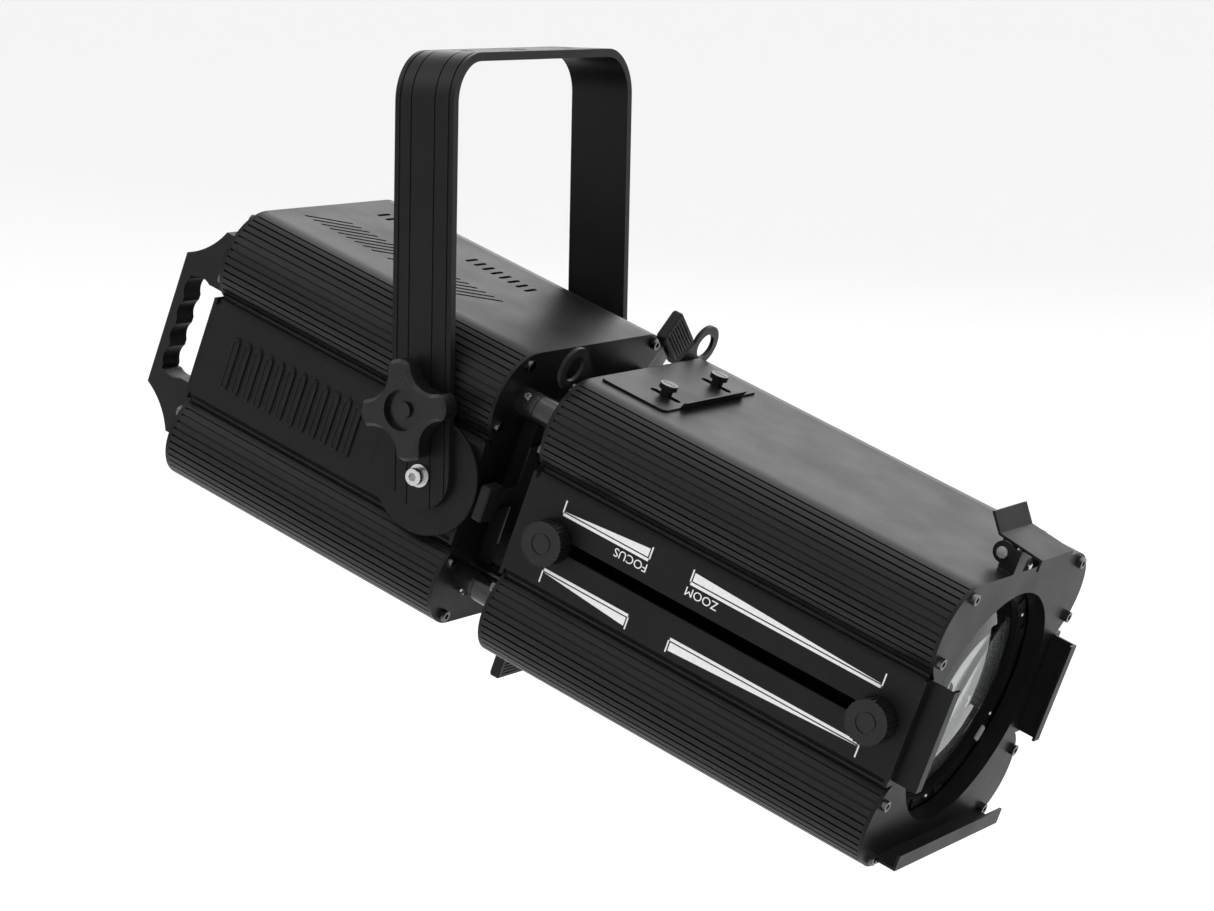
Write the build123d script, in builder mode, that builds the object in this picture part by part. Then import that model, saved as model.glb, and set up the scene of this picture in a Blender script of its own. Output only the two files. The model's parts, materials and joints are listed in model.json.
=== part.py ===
"""Ellipsoidal spotlight with a zoom lens, hung from a yoke.

The origin is the top of the clamp hole in the middle of the yoke, +Z is up and +X is the side
the beam leaves by. The lamp head hangs on two pivots below the origin and is drawn tilted
nose down. Its pieces are laid out on planes that tilt with it: x along the beam from the
pivot, y across, z square to the top panel.
"""
import os
from math import atan2, cos, degrees, radians, sin, sqrt

from build123d import *

os.makedirs("parts", exist_ok=True)

# Yoke, in mm
YOKE_WIDTH = 50.0
YOKE_THICK = 6.3
YOKE_INSIDE = 120.0           # centre line to the inner face of an arm
YOKE_CORNER = 36.0            # outer bend radius
PIVOT_DROP = 305.0            # yoke top to the tilt pivot
CLAMP_HOLE_R = 6.5
SIDE_HOLE_R = 5.5
SIDE_HOLE_SPACING = 70.0
REST_TILT = 20.3              # degrees, nose down
KNOB_RISE = 50.0              # clamp knob above the pivot
PIVOT_R = 4.0
STUD_R = 4.0

# Lamp head section
HALF_HEIGHT = 110.0
CORNER_Y = 80.0               # centre of a corner rail's arc
CORNER_Z = 72.0
CORNER_R = HALF_HEIGHT - CORNER_Z
SCREW_RING = CORNER_R - 6.5   # the plate screws lie on this arc inside each rail
RAIL_WALL = 6.0
RAIL_END = -53.0              # lowest angle of a rail's arc, in degrees
FINS = 14
FIN_GAP = 1.5
FIN_DEPTH = 1.8
SIDE_FACE = 113.0             # centre line to the face of a side panel
SIDE_SEAT = 105.3             # where a side panel's edges meet the rails
SIDE_HALF = 41.0              # half the height of a side panel
SHEET = 3.0                   # top, bottom and end plates
PAN_WALL = 2.5
PAN_BEVEL = 5.0               # sloped long edge of a side panel
PAN_LIP = 6.0                 # how thick its turned-in long edge is

# Lamp head lengths, along the beam from the pivot
REAR_X = -222.0
BULKHEAD_X = 36.0
GATE_X = 80.0
FRONT_X = 415.0

# Gate
BEAM_R = 40.0
POST_R = 11.0
BLADE = 1.2
BLADE_HALF = 39.0
SHUTTER_LEAN = 36.0           # how far the top shutter is swung towards +Y, in degrees
CASSETTE_X = 72.6
CASSETTE_HALF = 66.0

# Lenses
ROD_R = 5.0
ROD_Y, ROD_Z = 78.0, 70.0
CARRIAGE_R = 94.0
CARRIAGE_LONG = 14.0
FOCUS_X = GATE_X + 32.5       # middle of each carriage, where the lens knob is
ZOOM_X = FRONT_X - 25.0
FOCUS_LENS_R, ZOOM_LENS_R = 68.0, 82.0
LENS_HOLE_R = 90.0
KNOB_R = 16.5

# Fits
RUN = 0.06                    # a shaft that turns or slides in its bore, on the radius
LOOSE = 0.3                   # pieces that pass without touching
SLIP = 0.1                    # under a cover that slides flat on a panel
SCREW_R = 2.5                 # housing screws

tilt = radians(REST_TILT)
beam = (cos(tilt), 0, -sin(tilt))
up = (sin(tilt), 0, cos(tilt))
yoke_outside = YOKE_INSIDE + YOKE_THICK
rear_inside = REAR_X + SHEET
bulkhead_back = BULKHEAD_X - SHEET
gate_front = GATE_X + SHEET
front_inside = FRONT_X - SHEET


def head_point(x, y, z):
    """A point of the tilted lamp head in the object's own frame."""
    return (x * beam[0] + z * up[0], y, x * beam[2] + z * up[2] - PIVOT_DROP)


def across(x):
    """Plane square to the beam: local x is +Y, local y is the head's own up."""
    return Plane(origin=head_point(x, 0, 0), x_dir=(0, 1, 0), z_dir=beam)


def flat(z):
    """Plane level with the top panel: local x runs along the beam, local y is +Y."""
    return Plane(origin=head_point(0, 0, z), x_dir=beam, z_dir=up)


def side(y):
    """Plane along a side panel: local x runs along the beam, and it faces -Y."""
    return Plane(origin=head_point(0, y, 0), x_dir=beam, z_dir=(0, -1, 0))


def yoke_side(y):
    """Plane along a yoke arm, centred on the pivot, facing -Y."""
    return Plane(origin=(0, y, -PIVOT_DROP), x_dir=(1, 0, 0), z_dir=(0, -1, 0))


def outward(y):
    """How far to extrude from a side plane to move one unit away from the middle."""
    return -1 if y > 0 else 1


def save(piece, name):
    """Label a finished piece and write it out."""
    piece.part.label = name
    export_step(piece.part, f"parts/{name}.step")


# ---------------------------------------------------------------- yoke and tilt
arm_end = -PIVOT_DROP - YOKE_WIDTH / 2
GROOVE = 0.7
groove_bands = ((-20.5, 1.6), (-11.0, 1.0), (9.0, 1.0), (21.0, 1.2))


def arch(inset, low):
    """Outline of the yoke seen from the front, moved in from its outer face by inset."""
    with BuildLine() as outline:
        bend = FilletPolyline((-yoke_outside + inset, low), (-yoke_outside + inset, -inset),
                              (yoke_outside - inset, -inset), (yoke_outside - inset, low),
                              radius=YOKE_CORNER - inset)
        Line(bend @ 1, bend @ 0)
    return outline.line


with BuildPart() as yoke:
    with BuildSketch(Plane.YZ.offset(-YOKE_WIDTH / 2)):
        add(arch(0, arm_end))
        make_face()
        with BuildSketch(mode=Mode.SUBTRACT):
            add(arch(YOKE_THICK, arm_end))
            make_face()
    extrude(amount=YOKE_WIDTH)
    for band_x, band_width in groove_bands:
        with BuildSketch(Plane.YZ.offset(band_x - band_width / 2)):
            add(arch(-1, arm_end))
            make_face()
            with BuildSketch(mode=Mode.SUBTRACT):
                add(arch(GROOVE, arm_end))
                make_face()
        extrude(amount=band_width, mode=Mode.SUBTRACT)
    with BuildSketch(yoke_side(yoke_outside + 1)):
        with Locations((0, -YOKE_WIDTH / 2)):
            Rectangle(YOKE_WIDTH + 2, YOKE_WIDTH)
        Circle(YOKE_WIDTH / 2, mode=Mode.SUBTRACT)
    extrude(amount=2 * yoke_outside + 2, mode=Mode.SUBTRACT)
    with Locations((0, 0, 0)):
        Hole(radius=CLAMP_HOLE_R, depth=2 * YOKE_THICK)
    with Locations((0, -SIDE_HOLE_SPACING, 0), (0, SIDE_HOLE_SPACING, 0)):
        Hole(radius=SIDE_HOLE_R, depth=2 * YOKE_THICK)
    with BuildSketch(yoke_side(yoke_outside + 1)):
        Circle(PIVOT_R + RUN)
        with Locations((0, KNOB_RISE)):
            Circle(STUD_R + LOOSE)
    extrude(amount=2 * yoke_outside + 2, mode=Mode.SUBTRACT)
save(yoke, "yoke")

DISC_R = 45.0
DISC_HUB_R = 38.0
DISC_LIP = 3.4                # thickness of the rim that the shoe grips
disc_top = YOKE_INSIDE - LOOSE


# Round plate on each side of the head: a hub, and a wider rim that a clamp shoe hooks behind
with BuildPart() as tilt_discs:
    for hand in (-1, 1):
        out = outward(hand)
        with BuildSketch(side(hand * SIDE_FACE)):
            Circle(DISC_HUB_R)
        extrude(amount=out * (disc_top - SIDE_FACE))
        with BuildSketch(side(hand * (disc_top - DISC_LIP))):
            Circle(DISC_R)
        extrude(amount=out * DISC_LIP)
        with BuildSketch(side(hand * SIDE_FACE)):
            Circle(PIVOT_R)
        extrude(amount=out * 10, mode=Mode.SUBTRACT)
    chamfer(tilt_discs.edges().filter_by(GeomType.CIRCLE)
            .filter_by(lambda e: abs(e.radius - DISC_R) < 0.01), 0.6)
save(tilt_discs, "tilt_discs")

HEAD_R, HEAD_TALL = 6.5, 8.0
WASHER_R, WASHER_TALL = 8.5, 1.6
with BuildPart() as pivot_hardware:
    for hand in (-1, 1):
        out = outward(hand)
        with BuildSketch(yoke_side(hand * SIDE_FACE)):
            Circle(PIVOT_R)
        extrude(amount=out * (yoke_outside + WASHER_TALL - SIDE_FACE + 1))
        with BuildSketch(yoke_side(hand * (yoke_outside + WASHER_TALL))):
            Circle(HEAD_R)
        extrude(amount=out * HEAD_TALL)
        with BuildSketch(yoke_side(hand * (yoke_outside + WASHER_TALL + HEAD_TALL))):
            RegularPolygon(3.0, 6, major_radius=False)
        extrude(amount=-out * 4.5, mode=Mode.SUBTRACT)
    chamfer(pivot_hardware.edges().filter_by(GeomType.CIRCLE)
            .filter_by(lambda e: abs(e.radius - HEAD_R) < 0.01
                       and abs(e.center().Y) > yoke_outside + WASHER_TALL + 1), 0.6)
    for hand in (-1, 1):
        with BuildSketch(yoke_side(hand * yoke_outside)):
            Circle(WASHER_R)
            Circle(PIVOT_R + RUN, mode=Mode.SUBTRACT)
        extrude(amount=outward(hand) * (WASHER_TALL - 0.05))
save(pivot_hardware, "pivot_hardware")

SHOE_HALF = 10.0
shoe_back = disc_top - 3.7
with BuildPart() as clamp_shoes:
    for hand in (-1, 1):
        out = outward(hand)
        with BuildSketch(yoke_side(hand * shoe_back)):
            with Locations((0, (DISC_R + 0.6 + KNOB_RISE + 8) / 2)):
                Rectangle(2 * SHOE_HALF, KNOB_RISE + 8 - DISC_R - 0.6)
        extrude(amount=out * (YOKE_INSIDE - shoe_back))
        with BuildSketch(yoke_side(hand * (SIDE_FACE + 0.4))):
            with Locations((0, (DISC_HUB_R + 1.2 + KNOB_RISE + 0.5) / 2)):
                Rectangle(2 * SHOE_HALF, KNOB_RISE + 0.5 - DISC_HUB_R - 1.2)
        extrude(amount=out * (disc_top - DISC_LIP - 0.4 - SIDE_FACE - 0.4))
        with BuildSketch(yoke_side(hand * (SIDE_FACE + 0.4))):
            with Locations((0, (DISC_R + 0.6 + KNOB_RISE + 0.5) / 2)):
                Rectangle(2 * SHOE_HALF, KNOB_RISE + 0.5 - DISC_R - 0.6)
        extrude(amount=out * (shoe_back - SIDE_FACE))
        with BuildSketch(yoke_side(hand * (SIDE_FACE - 1))):
            with Locations((0, KNOB_RISE)):
                Circle(STUD_R + RUN)
        extrude(amount=out * 9, mode=Mode.SUBTRACT)
save(clamp_shoes, "clamp_shoes")

STAR_R = 37.0
STAR_LOBE_R = 13.0
STAR_TALL = 17.0
STAR_NECK = 8.0
STUD_SEAT = 7.0               # depth of the stud in the star


def star_knob(hand):
    """Four-lobed hand knob, moulded round its threaded stud."""
    out = outward(hand)
    face = yoke_outside + STAR_NECK + STAR_TALL
    turn = 8 if hand < 0 else -8
    with BuildPart() as knob:
        with BuildSketch(yoke_side(hand * (yoke_outside + STAR_NECK))) as star:
            with Locations((0, KNOB_RISE)):
                Circle(STAR_R - 9)
            with Locations((0, KNOB_RISE)):
                with PolarLocations(STAR_R - STAR_LOBE_R, 4, start_angle=90 + turn):
                    Circle(STAR_LOBE_R)
            with Locations((0, KNOB_RISE)):
                with PolarLocations(STAR_R + 5, 4, start_angle=45 + turn):
                    Circle(20.0, mode=Mode.SUBTRACT)
            fillet(star.vertices(), radius=4.0)
        extrude(amount=out * STAR_TALL)
        rim = knob.faces().filter_by(lambda f: abs(f.center().Y - hand * face) < 0.01)
        chamfer(rim.edges(), 2.5)
        with BuildSketch(yoke_side(hand * face)):
            with Locations((0, KNOB_RISE)):
                Circle(15.0)
        extrude(amount=-out * 5, mode=Mode.SUBTRACT)
        with BuildSketch(yoke_side(hand * (face - 5))):
            with Locations((0, KNOB_RISE)):
                Circle(6.0)
        extrude(amount=out * 3)
        with BuildSketch(yoke_side(hand * (yoke_outside + LOOSE))):
            with Locations((0, KNOB_RISE)):
                Circle(11.0)
        extrude(amount=out * (STAR_NECK - LOOSE))
        with BuildSketch(yoke_side(hand * (yoke_outside + LOOSE))):
            with Locations((0, KNOB_RISE)):
                Circle(STUD_R + SLIP)
        extrude(amount=out * (STAR_NECK - LOOSE + STUD_SEAT), mode=Mode.SUBTRACT)
        with BuildSketch(yoke_side(hand * (shoe_back + 0.2))):
            with Locations((0, KNOB_RISE)):
                Circle(STUD_R)
        extrude(amount=out * (yoke_outside + STAR_NECK + STUD_SEAT - SLIP - shoe_back - 0.2))
    return knob


for hand, word in ((-1, "left"), (1, "right")):
    save(star_knob(hand), f"clamp_knob_{word}")


# ---------------------------------------------------------------- housings
def rail_section(sy, sz):
    """Corner rail in section: a finned arc, a lip under each panel and two screw bosses."""
    with BuildSketch(mode=Mode.PRIVATE) as section:
        with Locations((sy * CORNER_Y, sz * CORNER_Z)):
            Circle(CORNER_R)
            Circle(CORNER_R - RAIL_WALL, mode=Mode.SUBTRACT)
        with Locations((sy * (CORNER_Y - CORNER_R), sz * CORNER_Z)):
            Rectangle(2 * CORNER_R, 3 * CORNER_R, mode=Mode.SUBTRACT)
        low = (CORNER_Y + 60 * cos(radians(RAIL_END)), CORNER_Z + 60 * sin(radians(RAIL_END)))
        corners = ((CORNER_Y, CORNER_Z), low, (low[0], CORNER_Z - 70), (CORNER_Y, CORNER_Z - 70))
        with BuildLine():
            Polyline([(sy * y, sz * z) for y, z in corners], close=True)
        make_face(mode=Mode.SUBTRACT)
        for i in range(FINS):
            angle = RAIL_END + 8 + i * (68 - RAIL_END - 8) / (FINS - 1)
            y = CORNER_Y + (CORNER_R - FIN_DEPTH / 2 + 0.5) * cos(radians(angle))
            z = CORNER_Z + (CORNER_R - FIN_DEPTH / 2 + 0.5) * sin(radians(angle))
            with Locations(Location((sy * y, sz * z), sy * sz * angle)):
                Rectangle(FIN_DEPTH + 1, FIN_GAP, mode=Mode.SUBTRACT)
        with Locations((sy * (CORNER_Y - 4), sz * (HALF_HEIGHT - SHEET - 1.5))):
            Rectangle(8.2, 3)
        with Locations((sy * (SIDE_SEAT - 2.5), sz * SIDE_HALF)):
            Rectangle(5, 10)
        for y, z in screw_spots:
            with Locations((sy * y, sz * z)):
                Circle(5.0)
        for y, z in screw_spots:
            with Locations((sy * y, sz * z)):
                Circle(SCREW_R, mode=Mode.SUBTRACT)
    return section.sketch


screw_spots = [(CORNER_Y + SCREW_RING * cos(radians(a)), CORNER_Z + SCREW_RING * sin(radians(a)))
               for a in (70, -32)]
quadrants = ((-1, 1), (1, 1), (1, -1), (-1, -1))

for name, x_from, x_to in (("rear_rails", rear_inside, bulkhead_back),
                           ("front_rails", gate_front, front_inside)):
    for word, sz in (("top", 1), ("bottom", -1)):
        with BuildPart() as rails:
            with BuildSketch(across(x_from)):
                for sy in (-1, 1):
                    add(rail_section(sy, sz))
            extrude(amount=x_to - x_from)
        save(rails, f"{name}_{word}")

LOUVRES, LOUVRE_PITCH, LOUVRE_X, LOUVRE_TALL = 12, 10.76, -191.0, 44.0


def side_pan(hand, x_from, x_to):
    """Folded side panel: a flat face with its long edges turned in onto the rails."""
    deep = SIDE_FACE - SIDE_SEAT
    with BuildPart() as pan:
        with BuildSketch(across(x_from)):
            with Locations((hand * (SIDE_SEAT + deep / 2), 0)):
                Rectangle(deep, 2 * SIDE_HALF)
        extrude(amount=x_to - x_from)
        long_edges = pan.edges().filter_by(lambda e: e.length > 100 and
                                           abs(e.center().Y) > SIDE_FACE - 0.1)
        chamfer(long_edges, PAN_BEVEL)
        with BuildSketch(across(x_from)):
            with Locations((hand * (SIDE_SEAT + (deep - PAN_WALL) / 2), 0)):
                Rectangle(deep - PAN_WALL, 2 * (SIDE_HALF - PAN_LIP))
        extrude(amount=x_to - x_from, mode=Mode.SUBTRACT)
    return pan


for hand, word in ((-1, "left"), (1, "right")):
    with BuildPart() as rear_side:
        add(side_pan(hand, rear_inside, bulkhead_back).part)
        with BuildSketch(side(hand * (SIDE_FACE - 1))):
            for i in range(LOUVRES):
                with Locations((LOUVRE_X + i * LOUVRE_PITCH, 0)):
                    SlotOverall(LOUVRE_TALL, 6.0, rotation=90)
        extrude(amount=outward(hand) * 1.9)
        with BuildSketch(side(hand * (SIDE_FACE - PAN_WALL))):
            Circle(PIVOT_R)
        extrude(amount=outward(hand) * PAN_WALL, mode=Mode.SUBTRACT)
    save(rear_side, f"rear_side_{word}")

SLOT_OVER, SLOT_WIDE = 9.0, 10.0
SLOT_FROM, SLOT_TO = FOCUS_X - SLOT_OVER, ZOOM_X + SLOT_OVER
with BuildPart() as front_side_left:
    add(side_pan(-1, gate_front, front_inside).part)
    with BuildSketch(side(-SIDE_FACE)):
        with Locations(((SLOT_FROM + SLOT_TO) / 2, 0)):
            SlotOverall(SLOT_TO - SLOT_FROM, SLOT_WIDE)
    extrude(amount=-PAN_WALL, mode=Mode.SUBTRACT)
save(front_side_left, "front_side_left")
save(side_pan(1, gate_front, front_inside), "front_side_right")

VENT_PITCH, VENT_WIDE = 8.1, 2.6


def flat_panel(x_from, x_to, z):
    """Flat sheet between the top or the bottom pair of rails."""
    with BuildPart() as panel:
        with BuildSketch(flat(z)):
            with Locations(((x_from + x_to) / 2, 0)):
                Rectangle(x_to - x_from, 2 * CORNER_Y)
        extrude(amount=SHEET)
    return panel


for word, z in (("top", HALF_HEIGHT - SHEET), ("bottom", -HALF_HEIGHT)):
    with BuildPart() as rear_panel:
        add(flat_panel(rear_inside, bulkhead_back, z).part)
        with BuildSketch(flat(z)):
            for start in (-198.0, -118.0):
                for i in range(9):
                    with Locations((start + i * VENT_PITCH, -31)):
                        SlotOverall(42, VENT_WIDE, rotation=60)
            for start in (-197.0, -110.0):
                for i in range(8):
                    with Locations((start + i * VENT_PITCH, 42)):
                        SlotOverall(17, VENT_WIDE + 0.6, rotation=90)
        extrude(amount=SHEET, mode=Mode.SUBTRACT)
    save(rear_panel, f"rear_{word}_panel")

COVER_X, COVER_LONG, COVER_HALF = 84.0, 57.0, 70.0
ACCESS_X, ACCESS_LONG = 102.0, 14.0
THUMB_X, THUMB_Y = 122.0, 38.0
COVER_SLOT = 26.0
THUMB_R = 2.5
COVER_THICK = 1.5
THUMB_UNDER = HALF_HEIGHT + COVER_THICK + 2 * SLIP       # underside of the cover's nuts
THUMB_SEAT = 6.0              # depth of the blind thread in a cover nut
with BuildPart() as front_top_panel:
    add(flat_panel(gate_front, front_inside, HALF_HEIGHT - SHEET).part)
    with BuildSketch(flat(HALF_HEIGHT - SHEET)):
        with Locations((ACCESS_X + ACCESS_LONG / 2, 0)):
            Rectangle(ACCESS_LONG, 2 * (THUMB_Y - 8))
    extrude(amount=SHEET, mode=Mode.SUBTRACT)
    with BuildSketch(flat(HALF_HEIGHT - SHEET)):          # studs pressed in for the cover's nuts
        with Locations((THUMB_X, -THUMB_Y), (THUMB_X, THUMB_Y)):
            Circle(THUMB_R)
    extrude(amount=THUMB_UNDER + THUMB_SEAT - LOOSE - HALF_HEIGHT + SHEET)
save(front_top_panel, "front_top_panel")
save(flat_panel(gate_front, front_inside, -HALF_HEIGHT), "front_bottom_panel")


def end_outline():
    """Outline of an end plate: the rails' arcs, with the side panels' flats between them."""
    with BuildSketch(mode=Mode.PRIVATE) as outline:
        Rectangle(2 * CORNER_Y, 2 * HALF_HEIGHT)
        Rectangle(2 * (CORNER_Y + 22), 2 * CORNER_Z)
        for sy, sz in quadrants:
            with Locations((sy * CORNER_Y, sz * CORNER_Z)):
                Circle(CORNER_R)
        Rectangle(2 * SIDE_FACE, 2 * SIDE_HALF)
    return outline.sketch


def screw_holes():
    """Through holes for the end plate's eight screws."""
    with BuildSketch(mode=Mode.PRIVATE) as holes:
        for sy, sz in quadrants:
            for y, z in screw_spots:
                with Locations((sy * y, sz * z)):
                    Circle(SCREW_R)
    return holes.sketch


def end_plate(x):
    """Plain end plate with its screw holes, from x forward."""
    with BuildPart() as plate:
        with BuildSketch(across(x)):
            add(end_outline())
            add(screw_holes(), mode=Mode.SUBTRACT)
        extrude(amount=SHEET)
    return plate


PANEL_Y, PANEL_LOW, PANEL_HIGH = 62.0, 2.0, 72.0
inlet_spots = ((-42.0, -52.0), (0.0, -52.0), (42.0, -52.0))
with BuildPart() as rear_plate:
    add(end_plate(REAR_X).part)
    with BuildSketch(across(REAR_X)):
        with Locations((0, (PANEL_LOW + PANEL_HIGH) / 2)):
            Rectangle(2 * PANEL_Y - 16, PANEL_HIGH - PANEL_LOW - 16)
        with Locations(*inlet_spots):
            Circle(12.0)
        for z in (-92.0, -84.0, 88.0, 96.0):
            with Locations((0, z)):
                SlotOverall(110, 3.2)
    extrude(amount=SHEET, mode=Mode.SUBTRACT)
save(rear_plate, "rear_plate")

with BuildPart() as bulkhead:
    add(end_plate(bulkhead_back).part)
    with BuildSketch(across(bulkhead_back)):
        Circle(BEAM_R + 4)
    extrude(amount=SHEET, mode=Mode.SUBTRACT)
save(bulkhead, "bulkhead")

CASSETTE_THICK = 3.0
GUIDE_LIP = 1.0
with BuildPart() as gate_plate:
    add(end_plate(GATE_X).part)
    with BuildSketch(across(GATE_X)):
        Circle(BEAM_R + 14)
    extrude(amount=SHEET, mode=Mode.SUBTRACT)
    for hand in (-1, 1):
        with BuildSketch(across(CASSETTE_X - LOOSE - GUIDE_LIP)):
            with Locations((hand * (CASSETTE_HALF + LOOSE + 0.6), 0)):
                Rectangle(1.2, 120)
        extrude(amount=GATE_X - CASSETTE_X + LOOSE + GUIDE_LIP)
        with BuildSketch(across(CASSETTE_X - LOOSE - GUIDE_LIP)):
            with Locations((hand * (CASSETTE_HALF - 1), 0)):
                Rectangle(4.0, 120)
        extrude(amount=GUIDE_LIP)
save(gate_plate, "gate_plate")

PIN_R = 2.5                   # latch pin
# Front plate: its colour frame channels and latch ears are bent from the same sheet
CHANNEL_DEEP, CHANNEL_WALL = 18.0, 2.0
CHANNEL_Y, CHANNEL_LOW, CHANNEL_HIGH = 104.0, -38.0, 40.0
CHANNEL_LIP = 9.0
SILL_Z, SILL_HALF, SILL_LIP = -104.0, 85.0, 12.0
COLLAR_LONG, COLLAR_WALL = 11.0, 2.5
HINGE_X, HINGE_Z = FRONT_X - 13, HALF_HEIGHT + 11.4
EAR_Y = 29.0                  # inner face of each latch ear
EAR_R = 8.0                   # rounded back of an ear
TAB_TOP = HALF_HEIGHT + 17.0
TAB_WIDE = 15.0
channel_front = FRONT_X + CHANNEL_DEEP

with BuildPart() as front_plate:
    add(end_plate(front_inside).part)
    with BuildSketch(across(front_inside)):
        Circle(LENS_HOLE_R)
    extrude(amount=SHEET, mode=Mode.SUBTRACT)
    channel_mid = (CHANNEL_LOW + CHANNEL_HIGH) / 2
    channel_tall = CHANNEL_HIGH - CHANNEL_LOW
    for hand in (-1, 1):
        with BuildSketch(across(FRONT_X)):
            with Locations((hand * (CHANNEL_Y - CHANNEL_WALL / 2), channel_mid)):
                Rectangle(CHANNEL_WALL, channel_tall)
        extrude(amount=CHANNEL_DEEP)
        with BuildSketch(across(channel_front - CHANNEL_WALL)):
            with Locations((hand * (CHANNEL_Y - CHANNEL_LIP / 2), channel_mid)):
                Rectangle(CHANNEL_LIP, channel_tall)
        extrude(amount=CHANNEL_WALL)
        with BuildSketch(across(front_inside)):
            with Locations((hand * (EAR_Y + CHANNEL_WALL - TAB_WIDE / 2),
                            (HALF_HEIGHT - SHEET + TAB_TOP) / 2)):
                Rectangle(TAB_WIDE, TAB_TOP - HALF_HEIGHT + SHEET)
        extrude(amount=SHEET)
        with BuildSketch(side(hand * EAR_Y)):
            with BuildLine():
                Polyline((HINGE_X, HALF_HEIGHT + LOOSE), (front_inside + 1, HALF_HEIGHT + LOOSE),
                         (front_inside + 1, TAB_TOP), (HINGE_X, TAB_TOP), close=True)
            make_face()
            with Locations((HINGE_X, HINGE_Z)):
                Circle(EAR_R)
                Circle(PIN_R, mode=Mode.SUBTRACT)
        extrude(amount=outward(hand) * CHANNEL_WALL)
    with BuildSketch(across(front_inside - COLLAR_LONG)):
        Circle(LENS_HOLE_R + COLLAR_WALL)
        Circle(LENS_HOLE_R, mode=Mode.SUBTRACT)
    extrude(amount=COLLAR_LONG)
    with BuildSketch(across(FRONT_X)):
        with Locations((0, SILL_Z + CHANNEL_WALL / 2)):
            Rectangle(2 * SILL_HALF, CHANNEL_WALL)
    extrude(amount=CHANNEL_DEEP)
    with BuildSketch(across(channel_front - CHANNEL_WALL)):
        with Locations((0, SILL_Z + SILL_LIP / 2)):
            Rectangle(2 * SILL_HALF, SILL_LIP)
    extrude(amount=CHANNEL_WALL)
save(front_plate, "front_plate")

# ---------------------------------------------------------------- fasteners and posts
CAP_R, CAP_TALL = 4.2, 4.0


def cap_screw(x, facing, y, z, grip):
    """Socket cap screw whose head rests on the plate face at x; facing is +1 or -1."""
    with BuildPart(mode=Mode.PRIVATE) as screw:
        with BuildSketch(across(x)):
            with Locations((y, z)):
                Circle(CAP_R)
        extrude(amount=facing * CAP_TALL)
        with BuildSketch(across(x + facing * CAP_TALL)):
            with Locations((y, z)):
                RegularPolygon(2.0, 6, major_radius=False)
        extrude(amount=-facing * 2.5, mode=Mode.SUBTRACT)
        with BuildSketch(across(x)):
            with Locations((y, z)):
                Circle(SCREW_R)
        extrude(amount=-facing * grip)
    return screw.part


with BuildPart() as housing_screws:
    for x, facing in ((REAR_X, -1), (BULKHEAD_X, 1), (GATE_X, -1), (FRONT_X, 1)):
        for sy, sz in quadrants:
            for y, z in screw_spots:
                add(cap_screw(x, facing, sy * y, sz * z, SHEET + 9))
save(housing_screws, "housing_screws")

POST_SPLIT = 51.6


def post_screw_seat(sy, sz):
    """Plane on the outer side of a spacer post, facing out, where its lock screw sits."""
    aim = Vector(*head_point(0, sy * 0.75, sz * 0.66)) - Vector(*head_point(0, 0, 0))
    return Plane(origin=head_point(POST_SPLIT - 8.6, sy * (CORNER_Y + 0.75 * POST_R),
                                   sz * (CORNER_Z + 0.66 * POST_R)), z_dir=aim)


SEAT_DEEP = 0.8
with BuildPart() as spacer_posts:
    for sy, sz in quadrants:
        with BuildSketch(across(BULKHEAD_X)):
            with Locations((sy * CORNER_Y, sz * CORNER_Z)):
                Circle(POST_R)
                Circle(6.0, mode=Mode.SUBTRACT)
        extrude(amount=GATE_X - BULKHEAD_X)
        with BuildSketch(post_screw_seat(sy, sz).offset(-SEAT_DEEP)):
            Circle(3.2)
        extrude(amount=3, mode=Mode.SUBTRACT)
        with BuildSketch(post_screw_seat(sy, sz).offset(-4)):
            Circle(1.5)
        extrude(amount=5, mode=Mode.SUBTRACT)
    with BuildSketch(across(POST_SPLIT - 0.4)):
        for sy, sz in quadrants:
            with Locations((sy * CORNER_Y, sz * CORNER_Z)):
                Circle(POST_R + 1)
                Circle(POST_R - 0.8, mode=Mode.SUBTRACT)
    extrude(amount=0.8, mode=Mode.SUBTRACT)
save(spacer_posts, "spacer_posts")

with BuildPart() as post_screws:
    for sy, sz in quadrants:
        with BuildSketch(post_screw_seat(sy, sz).offset(-4)):
            Circle(1.5)
        extrude(amount=4)
        with BuildSketch(post_screw_seat(sy, sz).offset(-SEAT_DEEP)):
            Circle(3.0)
        extrude(amount=2.4, taper=10)
save(post_screws, "post_screws")

# ---------------------------------------------------------------- handles
HANDLE_OUT = 51.0             # how far the grip stands behind the rear plate
HANDLE_WIDE = 21.0
HANDLE_Y = 79.2
HANDLE_HALF = 83.0
GRIP_HALF = 54.0
OPENING_HALF = 39.0
GRIP_THICK = 9.0
FINGER_R, FINGER_DEEP = 13.0, 2.2     # finger hollows along the grip's inner edge

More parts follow.
